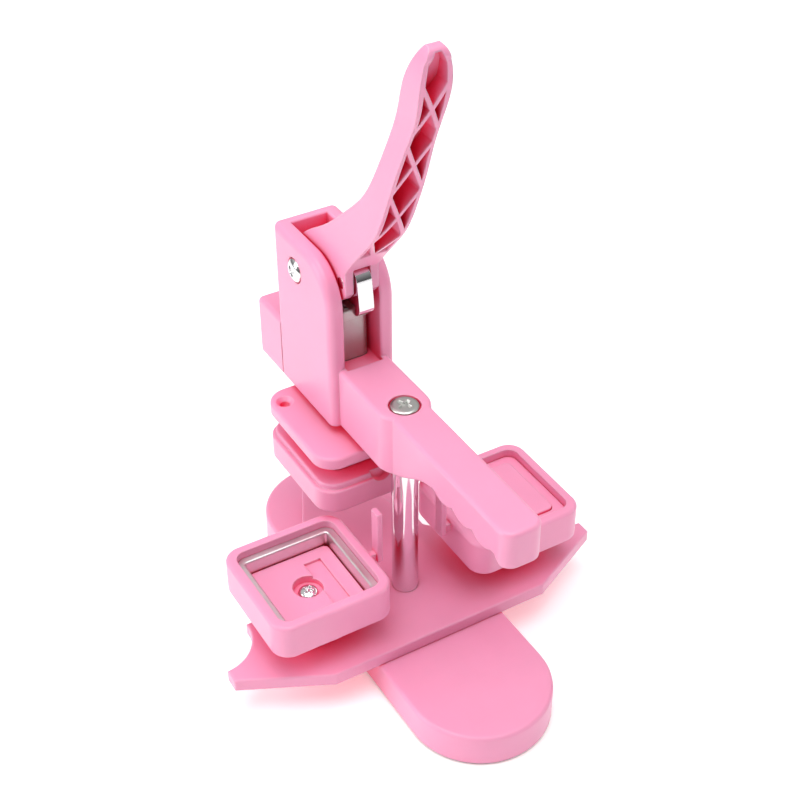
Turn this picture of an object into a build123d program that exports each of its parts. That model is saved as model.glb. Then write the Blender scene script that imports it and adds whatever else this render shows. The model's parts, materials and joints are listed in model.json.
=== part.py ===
from build123d import *
import os
from math import cos, radians, sin

# Rotary hand press for square badges, in millimetres.
# +X runs along the arm towards the grip, +Y towards the right die, +Z up.
# The origin is on the column's axis, in the plane that the base stands on.

# ---- driving dimensions ------------------------------------------------
STATION = 49.3              # column axis to the centre of each die and of the ram
CUP_HALF, CUP_CORNER = 28.5, 8.5
CUP_BOTTOM, CUP_RIM = 38.5, 56.0
CAVITY_HALF, CUP_FLOOR = 24.0, 41.0
CORE_HALF = 18.8            # badge size: a 37 mm square face

BASE_HALF, BASE_FRONT, BASE_BACK = 32.4, 94.8, -104.0
PAD_TOP, COVER_TOP, BASE_TOP = 1.2, 3.2, 16.5
BASE_WALL = 3.0
TRAY_BOTTOM, TRAY_TOP = 17.0, 23.0
COLUMN_R, COLUMN_TOP = 6.0, 118.0

RAM_X = -STATION
UPPER_HALF, UPPER_CORNER = 29.4, 10.2
PLATE_BOTTOM, PLATE_TOP = 86.0, 91.6
COLLAR_BOTTOM, COLLAR_LEDGE, COLLAR_TOP = 61.5, 72.8, 75.5

FRAME_BOTTOM, ARM_TOP, HEAD_TOP = 96.5, 126.2, 176.0
HEAD_HALF, SLOT_HALF, ARM_HALF, GRIP_HALF = 16.0, 8.8, 12.3, 9.3
HEAD_FRONT, HEAD_BACK, SLOT_BACK, TAIL_BACK = -35.0, -85.5, -81.3, -107.0
SLOT_FLOOR, TAIL_TOP = 124.0, 126.0
GRIP_START, GRIP_END, GRIP_BOTTOM = 4.0, 90.5, 112.5
BOSS_X = -2.0               # centre of the round end of the arm's wide part

PIVOT = (-65.5, 162.0)      # lever axle, in X and Z
TOP_PIN = (-38.5, 168.0)    # link to lever
RAM_PIN = (RAM_X, 147.6)    # link to ram
AXLE_R, TOP_PIN_R, RAM_PIN_R = 3.0, 2.5, 1.6
PRONG_GAP = 4.1             # half of the space between the lever's two prongs
RUNNING = 0.05              # radial clearance of a pin or shaft that turns
SLIDING = 0.3               # gap beside a piece that slides

os.makedirs("parts", exist_ok=True)


# ---- helpers -------------------------------------------------------------
def block(x0, x1, y0, y1, z0, z1):
    """A box given by its two limits along each axis."""
    centre = Pos((x0 + x1) / 2, (y0 + y1) / 2, (z0 + z1) / 2)
    return centre * Box(x1 - x0, y1 - y0, z1 - z0)


def post(r, z0, z1, x=0.0, y=0.0):
    """An upright round post."""
    return Pos(x, y, (z0 + z1) / 2) * Cylinder(r, z1 - z0)


def cross_pin(r, x, z, y0, y1):
    """A round pin that lies along Y."""
    return Pos(x, (y0 + y1) / 2, z) * Rot(90, 0, 0) * Cylinder(r, y1 - y0)


def square(half, corner, z0, z1, x=0.0, y=0.0, half_y=None):
    """An upright block with a rounded square or rectangular section."""
    outline = RectangleRounded(2 * half, 2 * (half_y or half), corner)
    return Pos(x, y, z0) * extrude(outline, z1 - z0)


def side_plate(outline, y0, y1):
    """An outline drawn in X and Z, thickened from y0 to y1."""
    face = Plane.XZ * outline
    return Pos(0, y1, 0) * extrude(face, y1 - y0)


def stadium(inset, z0, z1):
    """The base's long rounded shape, drawn in from its edge by inset."""
    r = BASE_HALF - inset
    front, back = BASE_FRONT - BASE_HALF, BASE_BACK + BASE_HALF
    shape = Pos((front + back) / 2, 0) * Rectangle(front - back, 2 * r)
    shape += Pos(front, 0) * Circle(r) + Pos(back, 0) * Circle(r)
    return Pos(0, 0, z0) * extrude(shape, z1 - z0)


def edges_at(part, z):
    """The edges that lie flat at height z."""
    return part.edges().filter_by(
        lambda e: abs(e.bounding_box().min.Z - z) + abs(e.bounding_box().max.Z - z) < 1e-3)


def soften(part, z, r):
    """Rounds every flat edge at height z."""
    return fillet(edges_at(part, z), r)


def dome_head(r, height, y, facing):
    """A dome screw head on a side wall, with a cross recess; facing is -1 or 1."""
    dome = Pos(0, 0, height - (r * r + height * height) / (2 * height))
    dome *= Sphere((r * r + height * height) / (2 * height))
    dome &= Pos(0, 0, height / 2) * Box(3 * r, 3 * r, height)
    for angle in (20, 110):
        dome -= Pos(0, 0, height) * Rot(0, 0, angle) * Box(r, 1.0, 1.6)
    return Pos(PIVOT[0], y, PIVOT[1]) * Rot(-90 * facing, 0, 0) * dome


def save(name, part):
    export_step(part, f"parts/{name}.step")


# ---- base ----------------------------------------------------------------
SCREW_SPOTS = [(x, y) for x in (BASE_BACK + 30, BASE_FRONT - 30) for y in (-18, 18)]


def antislip_pad():
    pad = stadium(0.8, 0, PAD_TOP)
    for x, y in SCREW_SPOTS:
        pad -= post(4.2, 0, PAD_TOP, x, y)
    return pad


def base_shell():
    """A hollow moulding, open below, with ribs, a column boss and screw bosses."""
    roof = BASE_TOP - BASE_WALL
    shell = soften(stadium(0, PAD_TOP, BASE_TOP), BASE_TOP, 1.6)
    shell -= stadium(BASE_WALL, PAD_TOP, roof)
    ribs = block(BASE_BACK + 3, BASE_FRONT - 3, -1.2, 1.2, COVER_TOP, roof)
    for x in range(-80, 81, 20):
        ribs += block(x - 1, x + 1, -BASE_HALF + 2, BASE_HALF - 2, COVER_TOP, roof)
    ribs += post(13, COVER_TOP, roof)
    for x, y in SCREW_SPOTS:
        ribs += post(4.5, COVER_TOP, roof, x, y)
    shell += ribs & stadium(BASE_WALL - 0.5, COVER_TOP, roof)
    shell -= post(COLUMN_R, 6.2, BASE_TOP) + post(10.5, COVER_TOP, 6.2)
    for x, y in SCREW_SPOTS:
        shell -= post(1.5, COVER_TOP, 11, x, y)
    return shell


def base_cover():
    cover = stadium(BASE_WALL + 0.1, PAD_TOP, COVER_TOP)
    for x, y in SCREW_SPOTS:
        cover -= post(1.6, PAD_TOP, COVER_TOP, x, y)
        cover -= post(3.4, PAD_TOP, PAD_TOP + 1.2, x, y)
    return cover


def cover_screws():
    screws = []
    for x, y in SCREW_SPOTS:
        screw = post(3.2, PAD_TOP, PAD_TOP + 1.2, x, y) + post(1.45, PAD_TOP + 1.2, 10.5, x, y)
        for angle in (0, 90):
            screw -= Pos(x, y, PAD_TOP) * Rot(0, 0, angle) * Box(4, 0.8, 1.2)
        screws.append(screw)
    return Compound(children=screws)


def column():
    """Chromed steel post, tapped at both ends, with a small chamfer."""
    rod = post(COLUMN_R, 6.2, COLUMN_TOP)
    rod = chamfer(rod.edges().filter_by(GeomType.CIRCLE), 0.6)
    return rod - post(3.0, 6.2, 24) - post(3.0, 98, COLUMN_TOP)


def column_bolt():
    head = Pos(0, 0, 3.4) * extrude(RegularPolygon(5.8, 6), 2.8 - 0.8)
    washer = post(9.5, 5.4, 6.2) - post(3.0, 5.4, 6.2)
    return head + washer + post(3.0, 4.0, 23)


def thrust_washer():
    return post(13, BASE_TOP, TRAY_BOTTOM - 0.05) - post(COLUMN_R, BASE_TOP, TRAY_BOTTOM)


# ---- press frame: head, arm and grip in one moulding -----------------------
def head_blank():
    """The two cheeks' outline, with the large round at the top front."""
    body = block(HEAD_BACK, HEAD_FRONT, -HEAD_HALF, HEAD_HALF, FRAME_BOTTOM, HEAD_TOP)
    front_top = body.edges().filter_by(Axis.Y).sort_by(lambda e: e.center().X + e.center().Z)[-1]
    body = fillet(front_top, 21)
    outer = body.edges().filter_by(
        lambda e: abs(abs(e.center().Y) - HEAD_HALF) < 0.01 and e.center().Z > FRAME_BOTTOM + 1)
    body = fillet(outer, 3.4)
    tail = block(TAIL_BACK, HEAD_BACK + 2, -HEAD_HALF, HEAD_HALF, FRAME_BOTTOM, TAIL_TOP)
    tail = fillet(tail.edges().filter_by(Axis.Y).group_by(Axis.X)[0].sort_by(Axis.Z)[-1], 3)
    corners = tail.edges().filter_by(Axis.Z).group_by(Axis.X)[0]
    return body + fillet(corners, 2.4)


def grip_outline():
    """Side view of the grip: a rising underside, finger scallops and a blunt end."""
    lip = 109.0
    outline = Polyline((GRIP_START - 10, ARM_TOP), (GRIP_START - 10, FRAME_BOTTOM + 0.5),
                       (GRIP_START + 2, FRAME_BOTTOM + 0.5))
    outline += Spline((GRIP_START + 2, FRAME_BOTTOM + 0.5), (24, 107), (40, GRIP_BOTTOM),
                      tangents=((1, 0.35), (1, 0.1)))
    outline += Polyline((40, GRIP_BOTTOM), (GRIP_END - 8, GRIP_BOTTOM), (GRIP_END - 4, lip),
                        (GRIP_END, lip), (GRIP_END, ARM_TOP), (GRIP_START - 10, ARM_TOP))
    face = make_face(outline)
    for x in (45, 59.5, 73.5):
        face += Pos(x, GRIP_BOTTOM + 8) * Circle(10.4)
    middle = (FRAME_BOTTOM + ARM_TOP) / 2
    return face & (Pos(45, middle) * Rectangle(140, ARM_TOP - FRAME_BOTTOM))


def arm():
    """Wide part over the column and the narrower grip."""
    wide = block(HEAD_FRONT - 4, BOSS_X, -ARM_HALF, ARM_HALF, FRAME_BOTTOM + 0.5, ARM_TOP)
    wide += post(ARM_HALF, FRAME_BOTTOM + 0.5, ARM_TOP, BOSS_X)
    grip = side_plate(grip_outline(), -GRIP_HALF, GRIP_HALF)
    end = grip.edges().filter_by(Axis.Z).group_by(Axis.X)[-1]
    grip = fillet(end, 6)
    body = wide + grip
    rim = edges_at(body, ARM_TOP).filter_by(lambda e: e.center().X > HEAD_FRONT)
    return fillet(rim, 1.8)


def press_frame():
    frame = head_blank() + arm()
    slot_front = HEAD_FRONT + 0.0
    frame -= block(SLOT_BACK, slot_front + 2, -SLOT_HALF, SLOT_HALF, SLOT_FLOOR, HEAD_TOP)
    frame -= square(6.4 + SLIDING, 3.6, FRAME_BOTTOM, SLOT_FLOOR, RAM_X, 0, 7.5 + SLIDING)
    frame -= cross_pin(AXLE_R, *PIVOT, -HEAD_HALF, HEAD_HALF)
    for side in (-1, 1):
        near, far = sorted((side * HEAD_HALF, side * (HEAD_HALF - 1.2)))
        frame -= cross_pin(6.0, *PIVOT, near, far)
    frame -= post(COLUMN_R, FRAME_BOTTOM, COLUMN_TOP) + post(3.1, COLUMN_TOP, ARM_TOP)
    frame -= post(7.1, ARM_TOP - 2.2, ARM_TOP)
    cheeks = edges_at(frame, HEAD_TOP)
    return fillet(cheeks, 1.0)


def arm_screw():
    """Pan head screw with a cross recess, from the arm's top into the column."""
    seat = ARM_TOP - 2.2
    head = fillet(edges_at(post(6.3, seat, seat + 2.6), seat + 2.6), 0.9)
    for angle in (25, 115):
        head -= Pos(0, 0, seat + 2.6) * Rot(0, 0, angle) * Box(6.4, 1.5, 2.6)
    return head + post(2.9, 100, seat)


def lever_axle():
    return cross_pin(AXLE_R, *PIVOT, -HEAD_HALF + 1.2, HEAD_HALF - 1.2)


def axle_caps():
    return Compound(children=[dome_head(5.5, 2.4, side * (HEAD_HALF - 1.2), side)
                              for side in (-1, 1)])


# ---- tray ------------------------------------------------------------------
def tray_half():
    """Half of the three-lobed tray: straight front, clipped corner, thumb notch."""
    bite = Pos(-13, 94) * Circle(20)
    half = make_face(Polyline((33.2, 0), (33.2, 54), (14, 93.2), (-14, 93.2), (-14, 46),
                              (-31, 27.5), (-62.5, 20.7), (-86, 8.6), (-86, 0), (33.2, 0)))
    inner = half.vertices().filter_by(lambda v: v.Y > 1 and v.X < -20)
    return fillet(inner, 9) - bite


def tray_plate():
    half = tray_half()
    plate = Pos(0, 0, TRAY_BOTTOM) * extrude(half + mirror(half, Plane.XZ),
                                             TRAY_TOP - TRAY_BOTTOM)
    plate = soften(plate, TRAY_TOP, 0.8)
    plate -= post(COLUMN_R + RUNNING, TRAY_BOTTOM, TRAY_TOP)
    return plate - post(8, TRAY_BOTTOM, TRAY_TOP - 1)


def tray_bush():
    return post(8, TRAY_BOTTOM, TRAY_TOP - 1) - post(COLUMN_R + RUNNING, TRAY_BOTTOM, TRAY_TOP)


def pedestal(side):
    """A round flange under the cup, on a stem that stands on the tray."""
    y = side * STATION
    flange = soften(post(25.2, 34.5, CUP_BOTTOM, 0, y), 34.5, 1.0)
    return flange + post(15, TRAY_TOP, 34.5, 0, y) - post(2.6, TRAY_TOP, CUP_BOTTOM, 0, y)


def cup_blank(side):
    """Square cup with a soft rim, and the guide fin that stands beside the column."""
    y = side * STATION
    cup = square(CUP_HALF, CUP_CORNER, CUP_BOTTOM, CUP_RIM, 0, y)
    cup = soften(soften(cup, CUP_RIM, 1.6), CUP_BOTTOM, 1.2)
    near, far = sorted((side * 15.0, side * 17.8))
    fin = block(1.0, 6.6, near, far, 50, 77)
    fin = fillet(fin.edges().filter_by(Axis.Z), 0.6)
    near, far = sorted((side * 16.0, side * 21.5))
    web = block(2.3, 5.3, near, far, 50, CUP_RIM - 2)
    return cup + fin + web


def left_cup():
    y = -STATION
    cup = cup_blank(-1)
    cup -= square(CAVITY_HALF, 5, 51.4, CUP_RIM, 0, y)
    cup -= square(21.9, 3.3, 39.8, 51.4, 0, y)
    return cup - post(2.6, CUP_BOTTOM, 40, 0, y)


def left_crimp_ring():
    """Stainless crimping frame: a flat border with a skirt down to the core."""
    y = -STATION
    ring = square(23.9, 4.9, 51.4, 52.4, 0, y) + square(21.8, 3.2, 45, 51.4, 0, y)
    return ring - square(21.0, 2.5, 45, 52.4, 0, y)


def left_core():
    """Square core with a screw well at its centre and an offset oblong recess."""
    y = -STATION
    core = soften(square(19.9, 2.6, 39.8, 45.5, 0, y), 45.5, 0.5)
    core -= block(-13.3, 15.7, y + 4.8, y + 13, 44.1, 45.5)
    core -= block(-3.5, 4.5, y + 3.0, y + 4.8, 44.1, 45.5)
    core -= post(6.8, 41.4, 45.5, 0, y)
    return core - post(2.6, 39.8, 41.4, 0, y)


def die_screw(side, seat):
    """Dome screw that holds a core, its cup and its pedestal together."""
    y = side * STATION
    dome = Pos(0, y, seat - 2.6) * Sphere(5.4)
    head = dome & post(4.6, seat, seat + 3, 0, y)
    for angle in (40, 130):
        head -= Pos(0, y, seat + 2.8) * Rot(0, 0, angle) * Box(4.6, 1.1, 2.0)
    return head + post(2.5, TRAY_TOP + 1, seat, 0, y)


def right_cup():
    y = STATION
    cup = cup_blank(1) - square(CAVITY_HALF, 5, CUP_FLOOR, CUP_RIM, 0, y)
    return cup - post(2.6, CUP_BOTTOM, CUP_FLOOR, 0, y)


def right_core():
    y = STATION
    core = soften(square(CORE_HALF, 3, CUP_FLOOR, 53.3, 0, y), 53.3, 0.5)
    return core - post(2.6, CUP_FLOOR, 48, 0, y) - post(5.0, CUP_FLOOR + 2, 48, 0, y)


def right_collar():
    """Floating frame around the right core."""
    y = STATION
    collar = square(CAVITY_HALF - SLIDING, 4.8, 47.5, 52, 0, y)
    return collar - square(CORE_HALF + SLIDING, 3.2, 47.5, 52, 0, y)


def collar_springs():
    """Four light coil springs under the floating frame."""
    springs = []
    for sx in (-1, 1):
        for sy in (-1, 1):
            path = Pos(sx * 20.6, STATION + sy * 20.6, CUP_FLOOR + 0.4) * Helix(1.9, 5.7, 1.3)
            start = Plane(path @ 0, z_dir=path % 0)
            springs.append(sweep(start * Circle(0.25), path))
    return Compound(children=springs)


def right_die_pin():
    """Chromed locating pin that shows under the right flange's edge."""
    return post(1.8, 29.5, 34.5, 15.5, STATION - 17.5)


# ---- upper die and ram -------------------------------------------------------
def ram():
    """Cast slide with a wider head that is slotted for the link."""
    body = square(6.4, 3.3, PLATE_TOP, 146, RAM_X, 0, 7.5)
    body += soften(square(7.9, 3.3, 146, 150.7, RAM_X, 0, 8.3), 150.7, 0.8)
    body -= block(RAM_X - 9, RAM_X + 5.6, -3.9, 3.9, 141.3, 151)
    return body - cross_pin(RAM_PIN_R, *RAM_PIN, -9, 9)


def ram_pin():
    return cross_pin(RAM_PIN_R, *RAM_PIN, -7.9, 7.9)


def upper_plate():
    plate = square(UPPER_HALF, UPPER_CORNER, PLATE_BOTTOM, PLATE_TOP, RAM_X)
    plate = soften(plate, PLATE_TOP, 1.2)
    hole = Pos(RAM_X - 19.8, -22.8)
    plate -= hole * post(2.3, PLATE_BOTTOM, PLATE_TOP)
    plate -= hole * Pos(0, 0, PLATE_TOP - 0.9) * Cone(2.3, 4.1, 1.8)
    return plate - post(2.6, PLATE_BOTTOM, PLATE_TOP, RAM_X)


def upper_core():
    """Punch that goes down through the upper collar, relieved inside."""
    core = square(CORE_HALF - 0.4, 3, 69.1, PLATE_BOTTOM, RAM_X)
    core -= square(12, 2, 69.1, 71, RAM_X)
    return core - post(2.6, 71, PLATE_BOTTOM, RAM_X) - post(5.2, 71, 75, RAM_X)


def ram_screw():
    head = fillet(edges_at(post(5, 71.8, 75, RAM_X), 71.8), 0.8)
    return head + post(2.5, 75, PLATE_TOP, RAM_X)


def upper_collar():
    """Square pressing sleeve with a raised platform inside its ledge."""
    collar = soften(square(UPPER_HALF, UPPER_CORNER, COLLAR_BOTTOM, COLLAR_LEDGE, RAM_X),
                    COLLAR_LEDGE, 0.8)
    collar += soften(square(UPPER_HALF - 1.8, UPPER_CORNER - 1.8, COLLAR_LEDGE, COLLAR_TOP,
                            RAM_X), COLLAR_TOP, 0.8)
    collar -= square(CORE_HALF - 0.4 + SLIDING, 3.2, COLLAR_BOTTOM, COLLAR_TOP, RAM_X)
    finger = Pos(RAM_X + UPPER_HALF, 0, COLLAR_TOP) * Rot(0, 90, 0)
    return collar - finger * Cylinder(5, 7)


# ---- lever and link ------------------------------------------------------------
SPINE = [(-75.5, 171.0), (-70.5, 176.2), (-54.0, 187.8), (-33.5, 204.8), (-17.9, 220), (-7.8, 236),
         (-0.4, 252), (6.2, 268), (12.7, 284), (19.0, 294.6)]
RIM = [(23.0, 289), (21.8, 278), (19.0, 268), (11.8, 252), (5.0, 236), (-1.8, 220), (-9.4, 205),
       (-18.0, 194), (-25.5, 185.5), (-34.5, 174.5)]


def lever_outline():
    """Side view: a round root at the axle, a swept blade and the prongs for the link."""
    x, z = PIVOT
    low = (x + 4, z - 9)
    outline = Spline(*SPINE) + ThreePointArc(SPINE[-1], (22.4, 293.8), RIM[0]) + Spline(*RIM)
    outline += Polyline(RIM[-1], (-34.5, 163.5), (-38, 159.6), (-45, 158.4), low)
    outline += ThreePointArc(low, (x - 8.2, z - 5.4), SPINE[0])
    return make_face(outline)


def front_outline(inset):
    """Front view of the lever, in Y and Z: widest at its root, slim at its tip."""
    root, waist, blade, neck, tip = (w - inset for w in (7.9, 7.35, 7.1, 5.9, 5.4))
    top = 296.0 - inset
    right = [(root, 140), (root, 180)]
    flank = Spline((root, 180), (waist, 205), (blade, 238), (neck, 266), (tip, top - 7), (0, top),
                   tangents=((0, 1), (-1, 0)))
    half = Polyline(*right) + flank + Polyline((0, top), (0, 140), right[0])
    return make_face(Plane.YZ * half) + make_face(Plane.YZ * mirror(half, Plane.YZ))


def lever_ribs():
    """Crossing diagonal ribs, drawn in Y and Z and run through along X."""
    cell, thickness = 27.8, 1.7
    plates = []
    for k in range(-1, 5):
        z = 172.3 + k * cell
        for lean in (-1, 1):
            centre = Plane.YZ * Pos(0, z + cell / 2)
            strip = Rot(0, 0, lean * 63) * Rectangle(2 * cell, thickness)
            plates.append(extrude(centre * strip, 60, both=True))
    return plates


def lever():
    body = side_plate(lever_outline(), -9, 9) & extrude(front_outline(0), 120, both=True)
    spine = Spline(*[(x + 3.0, z - 1.6) for x, z in SPINE[3:-1]])
    back = Polyline(spine @ 1, (19.6, 292.6), (60, 294), (60, 160), (-24, 184), spine @ 0)
    room = side_plate(make_face(spine + back), -9, 9)
    room &= extrude(front_outline(1.5), 120, both=True)
    floor_limit = side_plate(make_face(Polyline((-40, 178), (80, 219), (80, 330), (-60, 330),
                                                (-40, 178))), -9, 9)
    room &= floor_limit
    for plate in lever_ribs():
        room -= plate
    body -= room
    body -= block(RAM_X - 8, -20, -PRONG_GAP, PRONG_GAP, 140, TOP_PIN[1] + 7.4)
    body -= cross_pin(AXLE_R + RUNNING, *PIVOT, -9, 9)
    return body - cross_pin(TOP_PIN_R, *TOP_PIN, -9, 9)


def link_pin():
    return cross_pin(TOP_PIN_R, *TOP_PIN, -8.1, 8.1)


def link():
    """Cranked bar with an eye at each end; the lower eye has play around its pin."""
    (x0, z0), (x1, z1) = TOP_PIN, RAM_PIN
    spots = [(x0, z0, 6.2), (x0 + 2.7, 157, 4.9), (x1, 156.8, 4.6), (x1, z1, 4.6)]
    discs = [Pos(x, z) * Circle(r) for x, z, r in spots]
    body = side_plate(make_hull((discs[0] + discs[1]).edges()), -3.5, 3.5)
    for upper, lower in ((discs[1], discs[2]), (discs[2], discs[3])):
        body += side_plate(make_hull(upper.edges() + lower.edges()), -3.5, 3.5)
    body -= cross_pin(TOP_PIN_R + RUNNING, x0, z0, -4, 4)
    return body - cross_pin(RAM_PIN_R + 1.3, x1, z1, -4, 4)


PIECES = {
    "antislip_pad": antislip_pad, "base_shell": base_shell, "base_cover": base_cover,
    "cover_screws": cover_screws, "column": column, "column_bolt": column_bolt,
    "thrust_washer": thrust_washer, "press_frame": press_frame, "arm_screw": arm_screw,
    "lever_axle": lever_axle, "axle_caps": axle_caps, "tray_plate": tray_plate,
    "tray_bush": tray_bush, "left_cup": left_cup, "left_crimp_ring": left_crimp_ring,
    "left_core": left_core, "right_cup": right_cup, "right_core": right_core,
    "right_collar": right_collar, "collar_springs": collar_springs,
    "right_die_pin": right_die_pin, "ram": ram, "ram_pin": ram_pin,
    "upper_plate": upper_plate, "upper_core": upper_core, "ram_screw": ram_screw,
    "upper_collar": upper_collar, "lever": lever, "link_pin": link_pin, "link": link,
}

for name, make in PIECES.items():
    save(name, make())
for side, name, seat in ((-1, "left", 41.4), (1, "right", 43.0)):
    save(f"{name}_pedestal", pedestal(side))
    save(f"{name}_die_screw", die_screw(side, seat))
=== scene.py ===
import json
from math import pi, radians

import bmesh
import bpy
import numpy as np
from mathutils import Matrix, Vector


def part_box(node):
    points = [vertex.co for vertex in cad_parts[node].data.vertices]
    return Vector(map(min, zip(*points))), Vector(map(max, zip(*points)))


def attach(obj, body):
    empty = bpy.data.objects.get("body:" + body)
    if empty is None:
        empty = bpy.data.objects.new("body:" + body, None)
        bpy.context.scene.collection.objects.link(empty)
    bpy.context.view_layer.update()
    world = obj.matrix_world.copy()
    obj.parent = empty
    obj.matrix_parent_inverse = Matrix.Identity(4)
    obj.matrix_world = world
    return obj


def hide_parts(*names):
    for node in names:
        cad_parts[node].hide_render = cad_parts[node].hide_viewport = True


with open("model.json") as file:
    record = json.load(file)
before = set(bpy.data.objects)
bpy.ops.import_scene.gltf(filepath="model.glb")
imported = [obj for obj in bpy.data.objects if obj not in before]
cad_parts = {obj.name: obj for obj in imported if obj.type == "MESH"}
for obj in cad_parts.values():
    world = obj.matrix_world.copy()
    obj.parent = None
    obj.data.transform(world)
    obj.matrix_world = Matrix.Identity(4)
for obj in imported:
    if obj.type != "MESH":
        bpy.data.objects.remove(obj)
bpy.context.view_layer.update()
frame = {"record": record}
MM = 0.001
SLOTS = {row["node"]: row["material_slot"] for row in frame["record"]["subparts"]}
BODIES = {part: body for body, parts in frame["record"]["behaviour"]["bodies"].items()
          for part in parts}


# ---- camera, floor and light ------------------------------------------------
def place_camera(azimuth=59.64, elevation=37.38, roll=-0.28, distance=0.65215,
                 target=(-0.02001, 0.00948, 0.112), lens=67.44):
    """A tripod camera that looks down at the head from the left front; angles in degrees,
    distance and target in metres, lens in millimetres on a 36 mm sensor."""
    turn = (Matrix.Rotation(radians(azimuth), 3, "Z") @ Matrix.Rotation(radians(90 - elevation), 3, "X")
            @ Matrix.Rotation(radians(roll), 3, "Z"))
    data = bpy.data.cameras.new("camera")
    data.sensor_width = 36
    data.lens = lens
    camera = bpy.data.objects.new("camera", data)
    camera.location = Vector(target) + turn.col[2] * distance
    camera.rotation_euler = turn.to_euler()
    bpy.context.collection.objects.link(camera)
    bpy.context.scene.camera = camera


def softbox(name, place, aim, size, power, colour=(1, 1, 1)):
    """A rectangular studio lamp at place, turned towards aim."""
    data = bpy.data.lights.new(name, "AREA")
    data.shape = "RECTANGLE"
    data.size, data.size_y = size
    data.energy = power
    data.color = colour
    lamp = bpy.data.objects.new(name, data)
    lamp.location = place
    lamp.rotation_euler = (Vector(aim) - Vector(place)).to_track_quat("-Z", "Y").to_euler()
    bpy.context.collection.objects.link(lamp)


def light_the_studio():
    """A pale tent, brightest overhead and dimmest in front, with a key from the left."""
    world = bpy.data.worlds.new("tent")
    world.use_nodes = True
    nodes, links = world.node_tree.nodes, world.node_tree.links
    sky = nodes["Background"]
    split = nodes.new("ShaderNodeSeparateXYZ")
    links.new(nodes.new("ShaderNodeTexCoord").outputs["Generated"], split.inputs[0])
    height = ramp(nodes, links, math_node(nodes, links, "MULTIPLY_ADD", split.outputs["Z"], 0.5, 0.5),
                  (0.30, 0.29, 0.30, 1), (1, 1, 1, 1), 0.48, 0.85)
    front = ramp(nodes, links, math_node(nodes, links, "MULTIPLY_ADD", split.outputs["X"], 0.5, 0.5),
                 (1, 1, 1, 1), (0.42, 0.42, 0.43, 1), 0.35, 0.95)
    both = nodes.new("ShaderNodeMix")
    both.data_type, both.blend_type = "RGBA", "MULTIPLY"
    both.inputs["Factor"].default_value = 1.0
    links.new(height, both.inputs["A"])
    links.new(front, both.inputs["B"])
    links.new(both.outputs["Result"], sky.inputs["Color"])
    sky.inputs["Strength"].default_value = 0.62
    bpy.context.scene.world = world
    softbox("key_left", (-0.35, -1.15, 0.6), (0, 0, 0.12), (0.6, 0.8), 6.8)
    softbox("top_box", (0.15, -0.1, 1.25), (0.02, 0, 0.1), (1.1, 1.1), 12.5)
    softbox("right_strip", (0.55, 1.1, 0.6), (0, 0, 0.1), (0.12, 0.9), 1.5)
    scene = bpy.context.scene
    scene.view_settings.view_transform = "Standard"
    scene.view_settings.look = "None"


def lay_floor(half=2.5, gap=0.0002):
    """A pale table top: one flat square just under the press."""
    mesh = bpy.data.meshes.new("floor")
    corners = [(-half, -half), (half, -half), (half, half), (-half, half)]
    mesh.from_pydata([(x, y, -gap) for x, y in corners], [], [(0, 1, 2, 3)])
    floor = bpy.data.objects.new("floor", mesh)
    bpy.context.collection.objects.link(floor)
    material, _, _, shader = new_material("pale_floor")
    shader.inputs["Base Color"].default_value = (0.93, 0.93, 0.93, 1)
    shader.inputs["Roughness"].default_value = 0.85
    shader.inputs["Emission Color"].default_value = (1, 1, 1, 1)
    shader.inputs["Emission Strength"].default_value = 0.3
    mesh.materials.append(material)


# ---- shared effects, as node groups ------------------------------------------
def new_group(name, inputs, outputs):
    """An empty shader group with named float, colour or vector sockets."""
    group = bpy.data.node_groups.new(name, "ShaderNodeTree")
    for label, kind, value in inputs:
        socket = group.interface.new_socket(label, in_out="INPUT", socket_type=f"NodeSocket{kind}")
        if value is not None:
            socket.default_value = value
    for label, kind in outputs:
        group.interface.new_socket(label, in_out="OUTPUT", socket_type=f"NodeSocket{kind}")
    return group, group.nodes, group.links, group.nodes.new("NodeGroupInput"), \
        group.nodes.new("NodeGroupOutput")


def math_node(nodes, links, operation, first, second, third=0.0, clamp=False):
    """A Math node; each operand is a socket or a number."""
    node = nodes.new("ShaderNodeMath")
    node.operation = operation
    node.use_clamp = clamp
    for socket, value in zip(node.inputs, (first, second, third)):
        if hasattr(value, "links"):
            links.new(value, socket)
        else:
            socket.default_value = value
    return node.outputs[0]


def rounded_edges_group():
    """Mask of rounded edges that are painted paler, partly for wear and partly as a painted highlight:
    how far the rounded normal turns from the true one.
    """
    group, nodes, links, given, result = new_group(
        "rounded_edges", [("Radius", "Float", 0.0006)], [("Mask", "Float"), ("Normal", "Vector")])
    bevel = nodes.new("ShaderNodeBevel")
    bevel.samples = 4
    links.new(given.outputs["Radius"], bevel.inputs["Radius"])
    geometry = nodes.new("ShaderNodeNewGeometry")
    dot = nodes.new("ShaderNodeVectorMath")
    dot.operation = "DOT_PRODUCT"
    links.new(bevel.outputs[0], dot.inputs[0])
    links.new(geometry.outputs["Normal"], dot.inputs[1])
    turned = math_node(nodes, links, "SUBTRACT", 1.0, dot.outputs["Value"])
    mask = math_node(nodes, links, "MULTIPLY", turned, 4.0, clamp=True)
    links.new(mask, result.inputs["Mask"])
    links.new(bevel.outputs[0], result.inputs["Normal"])
    return group


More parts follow.
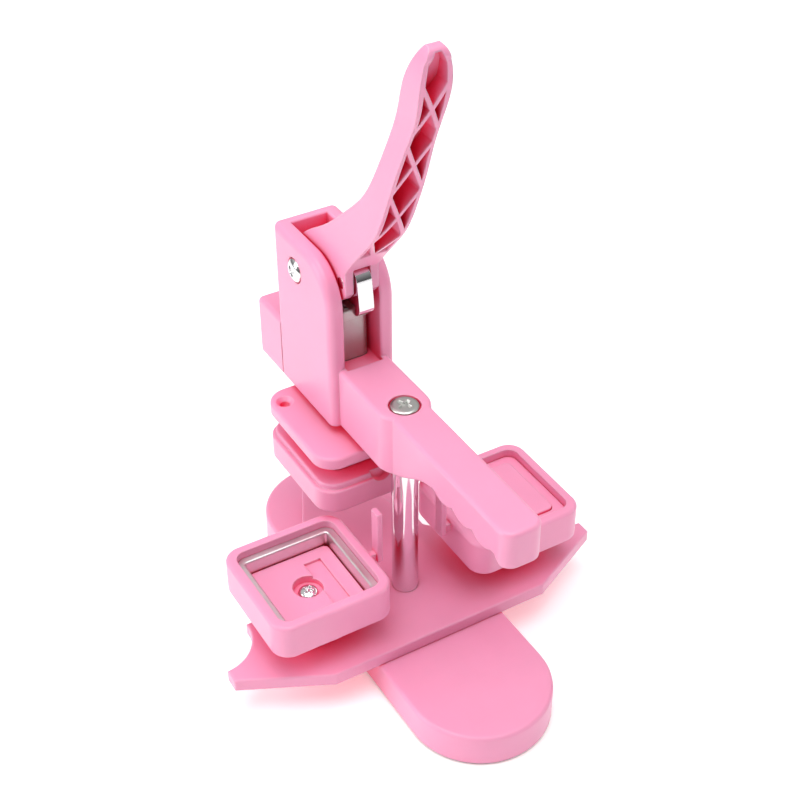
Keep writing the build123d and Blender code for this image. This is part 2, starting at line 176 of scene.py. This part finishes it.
def painted_shade_group():
    """Mask for painted shade: 1 deep in a cavity or gap, 0 on an open face."""
    group, nodes, links, given, result = new_group(
        "painted_shade", [("Reach", "Float", 0.02), ("Start", "Float", 0.35), ("End", "Float", 0.9)],
        [("Mask", "Float")])
    around = nodes.new("ShaderNodeAmbientOcclusion")
    around.samples = 16
    links.new(given.outputs["Reach"], around.inputs["Distance"])
    closed = math_node(nodes, links, "SUBTRACT", 1.0, around.outputs["AO"])
    span = nodes.new("ShaderNodeMapRange")
    span.interpolation_type = "SMOOTHSTEP"
    links.new(closed, span.inputs["Value"])
    links.new(given.outputs["Start"], span.inputs["From Min"])
    links.new(given.outputs["End"], span.inputs["From Max"])
    links.new(span.outputs["Result"], result.inputs["Mask"])
    return group


def surface_grain_group():
    """Fine grain and slow waviness as one height, with a blotchy mask."""
    group, nodes, links, given, result = new_group(
        "surface_grain", [("Grain Scale", "Float", 4000.0), ("Wave Scale", "Float", 60.0),
                          ("Wave Share", "Float", 0.5)], [("Height", "Float"), ("Blotches", "Float")])
    place = nodes.new("ShaderNodeTexCoord").outputs["Object"]
    fine = nodes.new("ShaderNodeTexNoise")
    slow = nodes.new("ShaderNodeTexNoise")
    for texture, scale in ((fine, "Grain Scale"), (slow, "Wave Scale")):
        links.new(place, texture.inputs["Vector"])
        links.new(given.outputs[scale], texture.inputs["Scale"])
    fine.inputs["Detail"].default_value = 2
    slow.inputs["Detail"].default_value = 3
    blend = nodes.new("ShaderNodeMix")
    links.new(given.outputs["Wave Share"], blend.inputs["Factor"])
    links.new(fine.outputs["Fac"], blend.inputs["A"])
    links.new(slow.outputs["Fac"], blend.inputs["B"])
    links.new(blend.outputs["Result"], result.inputs["Height"])
    links.new(slow.outputs["Fac"], result.inputs["Blotches"])
    return group


# ---- materials -------------------------------------------------------------------
def new_material(name):
    """A material with its node tree's parts and its Principled shader."""
    material = bpy.data.materials.new(name)
    material.use_nodes = True
    nodes, links = material.node_tree.nodes, material.node_tree.links
    return material, nodes, links, nodes["Principled BSDF"]


def use(nodes, group, **values):
    """Places a shared effect, with this material's own values."""
    node = nodes.new("ShaderNodeGroup")
    node.node_tree = group
    for label, value in values.items():
        node.inputs[label.replace("_", " ")].default_value = value
    return node


def ramp(nodes, links, factor, low, high, start=0.0, end=1.0):
    """A colour that goes from low to high as factor goes from start to end."""
    node = nodes.new("ShaderNodeValToRGB")
    node.color_ramp.elements[0].position, node.color_ramp.elements[1].position = start, end
    node.color_ramp.elements[0].color, node.color_ramp.elements[1].color = low, high
    links.new(factor, node.inputs["Fac"])
    return node.outputs["Color"]


def spread(nodes, links, factor, low, high):
    """Maps a 0-1 mask to the range from low to high."""
    node = nodes.new("ShaderNodeMapRange")
    node.inputs["From Min"].default_value, node.inputs["From Max"].default_value = 0.3, 0.7
    node.inputs["To Min"].default_value, node.inputs["To Max"].default_value = low, high
    links.new(factor, node.inputs["Value"])
    return node.outputs["Result"]


def finish_surface(nodes, links, shader, effects, base, edge_wear_and_highlight_colour, rough, radius, relief,
                   grain, wave, share):
    """Joins grain, blotches and paler edges, partly wear and partly a painted highlight, to one
    Principled shader.
    """
    edges = use(nodes, effects["edges"], Radius=radius)
    texture = use(nodes, effects["grain"], Grain_Scale=grain, Wave_Scale=wave, Wave_Share=share)
    darker = tuple(0.96 * c for c in base[:3]) + (1,)
    tone = ramp(nodes, links, texture.outputs["Blotches"], darker, base, 0.3, 0.7)
    # paler edges: partly wear, partly a painted highlight where rounded edges catch the light
    edge_wear_and_highlight_mix = nodes.new("ShaderNodeMix")
    edge_wear_and_highlight_mix.data_type = "RGBA"
    links.new(edges.outputs["Mask"], edge_wear_and_highlight_mix.inputs["Factor"])
    links.new(tone, edge_wear_and_highlight_mix.inputs["A"])
    edge_wear_and_highlight_mix.inputs["B"].default_value = edge_wear_and_highlight_colour
    links.new(edge_wear_and_highlight_mix.outputs["Result"], shader.inputs["Base Color"])
    links.new(spread(nodes, links, texture.outputs["Blotches"], *rough), shader.inputs["Roughness"])
    bump = nodes.new("ShaderNodeBump")
    bump.inputs["Strength"].default_value = 1.0
    bump.inputs["Distance"].default_value = relief
    links.new(texture.outputs["Height"], bump.inputs["Height"])
    links.new(edges.outputs["Normal"], bump.inputs["Normal"])
    links.new(bump.outputs["Normal"], shader.inputs["Normal"])
    return texture


def pink_plastic(effects):
    """Glossy moulded plastic: open faces are pale pink, cavities and gaps get a painted shade of deep
    red, and rounded edges a paler painted highlight.
    """
    material, nodes, links, shader = new_material("pink_plastic")
    # the paler edge colour on this plastic is a painted highlight on its rounded edges
    finish_surface(nodes, links, shader, effects, base=(0.88, 0.33, 0.515, 1),
                   edge_wear_and_highlight_colour=(0.92, 0.50, 0.65, 1), rough=(0.29, 0.33), radius=0.0011,
                   relief=0.00001, grain=2600.0, wave=45.0, share=0.6)
    # painted shade: occluded cavities and gaps are mixed towards a deep red
    painted_shade = use(nodes, effects["painted_shade"], Reach=0.03, Start=0.42, End=0.98)
    painted_shade_mix = nodes.new("ShaderNodeMix")
    painted_shade_mix.data_type = "RGBA"
    links.new(painted_shade.outputs["Mask"], painted_shade_mix.inputs["Factor"])
    links.new(shader.inputs["Base Color"].links[0].from_socket, painted_shade_mix.inputs["A"])
    painted_shade_mix.inputs["B"].default_value = (1.0, 0.025, 0.11, 1)
    links.new(painted_shade_mix.outputs["Result"], shader.inputs["Base Color"])
    shader.inputs["Specular IOR Level"].default_value = 0.5
    shader.inputs["Subsurface Weight"].default_value = 0.10
    shader.inputs["Subsurface Radius"].default_value = (1.0, 0.25, 0.35)
    shader.inputs["Subsurface Scale"].default_value = 0.0012
    return material


def chrome_steel(effects):
    """Bright plated steel with faint long scratches."""
    material, nodes, links, shader = new_material("chrome_steel")
    finish_surface(nodes, links, shader, effects, base=(0.80, 0.79, 0.80, 1),
                   edge_wear_and_highlight_colour=(0.9, 0.9, 0.9, 1), rough=(0.05, 0.11), radius=0.0003,
                   relief=0.0000015, grain=1800.0, wave=40.0, share=0.8)
    shader.inputs["Metallic"].default_value = 1.0
    return material


def stainless_sheet(effects):
    """Rolled sheet with a fine brushed direction."""
    material, nodes, links, shader = new_material("stainless_sheet")
    finish_surface(nodes, links, shader, effects, base=(0.74, 0.73, 0.72, 1),
                   edge_wear_and_highlight_colour=(0.85, 0.85, 0.85, 1), rough=(0.30, 0.42), radius=0.0003,
                   relief=0.000006, grain=2200.0, wave=90.0, share=0.5)
    shader.inputs["Metallic"].default_value = 1.0
    return material


def cast_steel(effects):
    """Grey casting: mottled, slightly rough, with bright corners that are partly rubbed and partly a
    painted highlight.
    """
    material, nodes, links, shader = new_material("cast_steel")
    texture = finish_surface(nodes, links, shader, effects, base=(0.52, 0.5, 0.48, 1),
                             edge_wear_and_highlight_colour=(0.7, 0.69, 0.67, 1), rough=(0.3, 0.5), radius=0.0005,
                             relief=0.00012, grain=900.0, wave=420.0, share=0.55)
    links.new(spread(nodes, links, texture.outputs["Blotches"], 0.55, 1.0), shader.inputs["Metallic"])
    return material


def satin_nickel(effects):
    """Even satin plating on the arm's screw."""
    material, nodes, links, shader = new_material("satin_nickel")
    finish_surface(nodes, links, shader, effects, base=(0.62, 0.63, 0.6, 1),
                   edge_wear_and_highlight_colour=(0.8, 0.8, 0.78, 1), rough=(0.28, 0.36), radius=0.0003,
                   relief=0.000008, grain=3000.0, wave=200.0, share=0.4)
    shader.inputs["Metallic"].default_value = 1.0
    return material


def zinc_steel(effects):
    """Bluish, blotchy zinc on the hidden fasteners."""
    material, nodes, links, shader = new_material("zinc_steel")
    finish_surface(nodes, links, shader, effects, base=(0.55, 0.57, 0.62, 1),
                   edge_wear_and_highlight_colour=(0.75, 0.75, 0.78, 1), rough=(0.25, 0.42), radius=0.0003,
                   relief=0.00001, grain=1500.0, wave=260.0, share=0.6)
    shader.inputs["Metallic"].default_value = 1.0
    return material


def spring_steel(effects):
    """Dark drawn wire."""
    material, nodes, links, shader = new_material("spring_steel")
    finish_surface(nodes, links, shader, effects, base=(0.4, 0.39, 0.38, 1),
                   edge_wear_and_highlight_colour=(0.5, 0.5, 0.5, 1), rough=(0.25, 0.4), radius=0.0001,
                   relief=0.000005, grain=4000.0, wave=500.0, share=0.5)
    shader.inputs["Metallic"].default_value = 1.0
    return material


def dark_pad(effects):
    """Thin foam rubber with open pores."""
    material, nodes, links, shader = new_material("dark_pad")
    finish_surface(nodes, links, shader, effects, base=(0.06, 0.06, 0.065, 1),
                   edge_wear_and_highlight_colour=(0.09, 0.09, 0.095, 1), rough=(0.75, 0.92), radius=0.0003,
                   relief=0.0002, grain=1400.0, wave=300.0, share=0.3)
    return material


def white_nylon(effects):
    """Milky bearing plastic."""
    material, nodes, links, shader = new_material("white_nylon")
    finish_surface(nodes, links, shader, effects, base=(0.8, 0.8, 0.77, 1),
                   edge_wear_and_highlight_colour=(0.86, 0.86, 0.84, 1), rough=(0.4, 0.5), radius=0.0003,
                   relief=0.00003, grain=2400.0, wave=150.0, share=0.5)
    return material


def make_materials():
    """One material per slot, by name; all of them share the same effect groups."""
    effects = {"edges": rounded_edges_group(), "grain": surface_grain_group(),
               "painted_shade": painted_shade_group()}
    makers = (pink_plastic, chrome_steel, stainless_sheet, cast_steel, satin_nickel, zinc_steel,
              spring_steel, dark_pad, white_nylon)
    return {maker.__name__: maker(effects) for maker in makers}


def dress_cad_nodes(materials):
    """Gives each node the material that its slot in the record names."""
    for name, slot in SLOTS.items():
        node = bpy.data.objects[name]
        if not node.material_slots:
            node.data.materials.append(materials[slot])
        for place in node.material_slots:
            place.material = materials[slot]


# ---- crisp metal pieces --------------------------------------------------------
def skin(name, grid, node, material, tube=False):
    """A closed mesh from rows of points; each row is a ring, and tube joins last row to first."""
    lower = np.arange(grid.size // 3).reshape(-1, *grid.shape[-3:-1])
    upper = np.roll(lower, -1, axis=1)
    if not tube:
        lower, upper = lower[:, :-1], upper[:, :-1]
    low_next, high_next = np.roll(lower, -1, axis=2), np.roll(upper, -1, axis=2)
    quads = np.stack([lower, low_next, high_next, upper], axis=-1).reshape(-1, 4)
    mesh = bpy.data.meshes.new(name)
    mesh.from_pydata(grid.reshape(-1, 3).tolist(), [], quads.tolist())
    shape = bmesh.new()
    shape.from_mesh(mesh)
    bmesh.ops.remove_doubles(shape, verts=shape.verts, dist=1e-7)
    bmesh.ops.recalc_face_normals(shape, faces=shape.faces)
    shape.to_mesh(mesh)
    shape.free()
    mesh.polygons.foreach_set("use_smooth", np.ones(len(mesh.polygons), dtype=bool))
    mesh.set_sharp_from_angle(angle=radians(38))
    mesh.materials.append(material)
    piece = bpy.data.objects.new(name, mesh)
    bpy.context.collection.objects.link(piece)
    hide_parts(node)
    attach(piece, BODIES[node])


def screw_head(centre, radius, height, turn, flat=0.0, facing=(0, 0, 1), depth=0.45):
    """Head with a cross recess. At radius r the crown stands height * sqrt(1 - s * s), where s
    runs from 0 at the edge of the flat middle to 1 at the rim; the recess takes away depth of
    the height inside two crossed slots whose walls slope."""
    ring_count, spoke_count = 56, 144
    slot_half, slot_wall, slot_end, end_wall = (share * radius for share in (0.16, 0.07, 0.56, 0.20))
    hub_reach, hub_wall = 0.27 * radius, 0.09 * radius
    skirt = 0.12 * height
    angle = np.linspace(0, 2 * pi, spoke_count, endpoint=False)
    r, a = np.meshgrid(np.linspace(0, 1, ring_count) * radius, angle, indexing="ij")
    s = np.clip((r / radius - flat) / (1 - flat), 0, 1)
    crown = height * np.sqrt(np.clip(1 - s ** 2, 0, 1))
    across, along = r * np.cos(a - turn), r * np.sin(a - turn)

    def slot(u, v):
        """Depth share of one slot along u: 1 inside, sloping to 0 at its walls and ends."""
        side = np.clip((slot_half - np.abs(v)) / slot_wall, 0, 1)
        end = np.clip((slot_end - np.abs(u)) / end_wall, 0, 1)
        return side * end
    cross = np.maximum(slot(across, along), slot(along, across))
    hub = np.clip((hub_reach - r) / hub_wall, 0, 1)
    z = crown - depth * height * np.maximum(cross, hub)
    top = np.stack([r * np.cos(a), r * np.sin(a), z], axis=-1)
    under = np.stack([top[-1] * (1, 1, 0), top[-1] * (0, 0, 0)])
    under[..., 2] = -skirt
    grid = np.concatenate([top, under])
    aim = np.array(Vector((0, 0, 1)).rotation_difference(Vector(facing)).to_matrix())
    return grid @ aim.T + np.array(centre)


def rounded_square(half, corner, steps=10):
    """Loop round a square with arc corners: corner centre plus corner radius times the angle's
    cosine and sine, with four points more along each straight side."""
    angle = (np.arange(4)[:, None] + np.linspace(0, 1, steps)) * pi / 2
    middle = (np.arange(4) + 0.5) * pi / 2
    place = np.stack([np.sign(np.cos(middle)), np.sign(np.sin(middle))], axis=-1) * (half - corner)
    loop = place[:, None, :] + corner * np.stack([np.cos(angle), np.sin(angle)], axis=-1)
    start, stop = loop[:, -1:, :], np.roll(loop[:, :1, :], -1, axis=0)
    share = np.linspace(0, 1, 6)[1:-1][None, :, None]
    return np.concatenate([loop, start + share * (stop - start)], axis=1).reshape(-1, 2)


def crimp_ring(material):
    """The sheet frame in the left die: one profile carried round a rounded square. The profile
    rises up the skirt, rolls over its inner lip, and runs out flat to a lip that turns up."""
    low, high = (np.array(corner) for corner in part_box("left_crimp_ring"))
    middle, half, top, bottom = (low + high) / 2, (high - low)[0] / 2, high[2], low[2]
    inner, sheet, lip = half - 3.6 * MM, 0.55 * MM, 0.9 * MM
    corner, tightest = 4.9 * MM, 0.8 * MM
    bend = np.linspace(0, pi / 2, 6)
    # Distance in from the outer edge, and height, along the upper side and back below.
    upper = np.concatenate([
        [(inner, bottom)],
        np.stack([inner + lip * (1 - np.cos(bend)), top - lip + lip * np.sin(bend)], axis=-1),
        [(half - 0.5 * MM, top - 0.02 * MM), (half - 0.12 * MM, top)]])
    lower = np.concatenate([
        [(half - 0.02 * MM, top - 0.1 * MM), (half - 0.1 * MM, top - sheet)],
        np.stack([inner + lip + (lip - sheet) * -np.sin(bend), top - lip + (lip - sheet)
                  * np.cos(bend)], axis=-1),
        [(inner + sheet, bottom)]])
    profile = np.concatenate([upper, lower])
    loops = [rounded_square(reach, max(corner - (half - reach), tightest))
             for reach in profile[:, 0]]
    grid = np.stack([np.column_stack([loop + middle[:2], np.full(len(loop), z)])
                     for loop, z in zip(loops, profile[:, 1])])
    skin("crimp_ring", grid, "left_crimp_ring", material, tube=True)


def fit_screws(materials):
    """Turned heads with cross recesses in place of the plain CAD ones."""
    pan, dome, proud = 0.9 * MM, 2.4 * MM, 0.8 * MM
    low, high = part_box("arm_screw")
    radius = (high[0] - low[0]) / 2
    head = screw_head((0, 0, high[2] - pan), radius, pan, radians(25), flat=0.72, depth=1.3)
    skin("arm_screw_head", head, "arm_screw", materials["satin_nickel"])
    low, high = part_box("left_die_screw")
    head = screw_head((0, (low[1] + high[1]) / 2, high[2] - dome), (high[0] - low[0]) / 2, dome,
                      radians(40), depth=0.5)
    skin("left_die_screw_head", head, "left_die_screw", materials["chrome_steel"])
    low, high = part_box("axle_caps")
    x, z, radius = (low[0] + high[0]) / 2, (low[2] + high[2]) / 2, (high[0] - low[0]) / 2
    caps = [screw_head((x, side * (high[1] + proud - dome), z), radius, dome, radians(30),
                       facing=(0, side, 0), depth=0.4) for side in (-1, 1)]
    skin("axle_dome", np.stack(caps), "axle_caps", materials["chrome_steel"])


place_camera()
lay_floor()
light_the_studio()
materials = make_materials()
dress_cad_nodes(materials)
fit_screws(materials)
crimp_ring(materials["stainless_sheet"])
